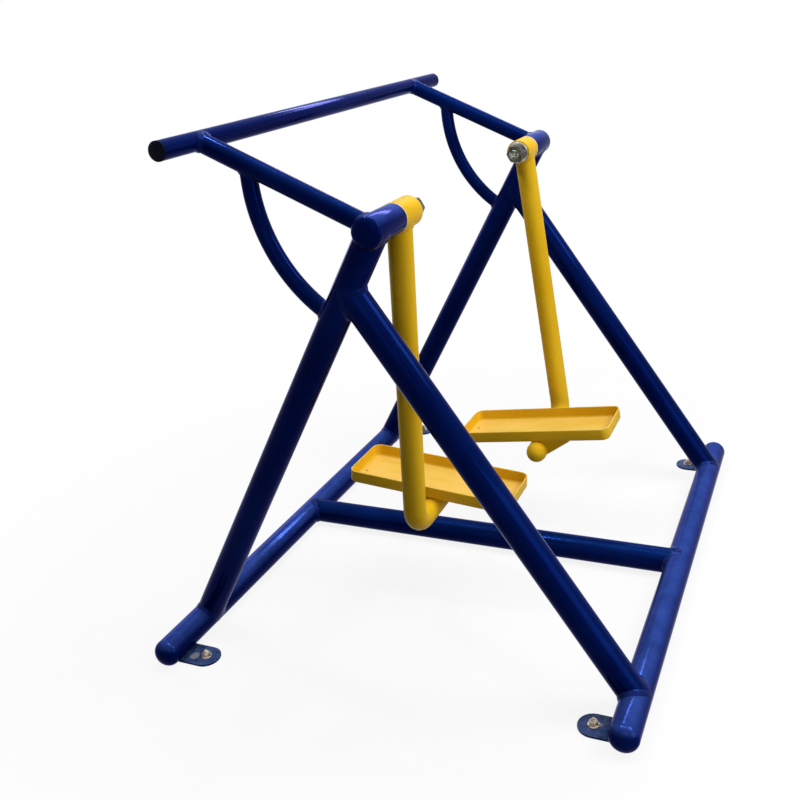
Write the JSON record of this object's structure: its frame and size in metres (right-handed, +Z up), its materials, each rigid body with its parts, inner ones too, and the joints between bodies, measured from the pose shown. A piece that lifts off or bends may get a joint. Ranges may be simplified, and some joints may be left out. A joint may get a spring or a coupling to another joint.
{
  "type": "air walker",
  "caption": "Outdoor air walker: a blue tubular stand with a handlebar and yellow swinging arms that carry foot trays, for striding exercise in a park.",
  "frame": {"origin": "on the ground, under the middle of the whole footprint", "axes": "+Z up, the user faces -X, +Y to the user's right along the skids and the handlebar"},
  "size_m": [1.336, 1.69, 1.4332],
  "materials": {
    "blue_paint": "glossy deep blue coat on steel pipe, a little worn",
    "yellow_paint": "satin golden yellow coat on steel, worn in the trays",
    "bright_steel": "bright plated steel",
    "zinc_plate": "dull zinc plate",
    "bearing_steel": "ground bearing steel",
    "pale_nylon": "natural nylon",
    "black_plastic": "weathered black plastic"
  },
  "bodies": {
    "frame": {"front_skid": "blue_paint", "rear_skid": "blue_paint", "cross_tube": "blue_paint", "handlebar": "blue_paint", "front_skid_left_cap": "blue_paint", "front_left_foot_tab": "blue_paint", "front_left_anchor": "zinc_plate", "front_skid_right_cap": "blue_paint", "front_right_foot_tab": "blue_paint", "front_right_anchor": "zinc_plate", "rear_skid_left_cap": "blue_paint", "rear_left_foot_tab": "blue_paint", "rear_left_anchor": "zinc_plate", "rear_skid_right_cap": "blue_paint", "rear_right_foot_tab": "blue_paint", "rear_right_anchor": "zinc_plate", "left_front_leg": "blue_paint", "left_rear_leg": "blue_paint", "left_handle_arm": "blue_paint", "left_brace": "blue_paint", "left_hub_housing": "blue_paint", "left_hub_cap": "blue_paint", "left_axle": "bright_steel", "left_thrust_washer": "pale_nylon", "left_bearing_spacer": "zinc_plate", "left_axle_washer": "bright_steel", "left_axle_nut": "bright_steel", "handlebar_left_plug": "black_plastic", "right_front_leg": "blue_paint", "right_rear_leg": "blue_paint", "right_handle_arm": "blue_paint", "right_brace": "blue_paint", "right_hub_housing": "blue_paint", "right_hub_cap": "blue_paint", "right_axle": "bright_steel", "right_thrust_washer": "pale_nylon", "right_bearing_spacer": "zinc_plate", "right_axle_washer": "bright_steel", "right_axle_nut": "bright_steel", "handlebar_right_plug": "black_plastic"},
    "left_swing": {"left_sleeve": "yellow_paint", "left_inboard_bearing": "bearing_steel", "left_outboard_bearing": "bearing_steel", "left_swing_arm": "yellow_paint", "left_foot_tube_cap": "yellow_paint", "left_tray": "yellow_paint", "left_tray_gusset": "yellow_paint"},
    "right_swing": {"right_sleeve": "yellow_paint", "right_inboard_bearing": "bearing_steel", "right_outboard_bearing": "bearing_steel", "right_swing_arm": "yellow_paint", "right_foot_tube_cap": "yellow_paint", "right_tray": "yellow_paint", "right_tray_gusset": "yellow_paint"}
  },
  "joints": [
    {"name": "left_swing_hinge", "type": "hinge", "parent": "frame", "child": "left_swing", "pos_m": [0.047, 0, 1.2], "axis": [0, 1, 0], "range_deg": [-55, 45]},
    {"name": "right_swing_hinge", "type": "hinge", "parent": "frame", "child": "right_swing", "pos_m": [0.047, 0, 1.2], "axis": [0, 1, 0], "range_deg": [-42.7, 57.3]}
  ]
}
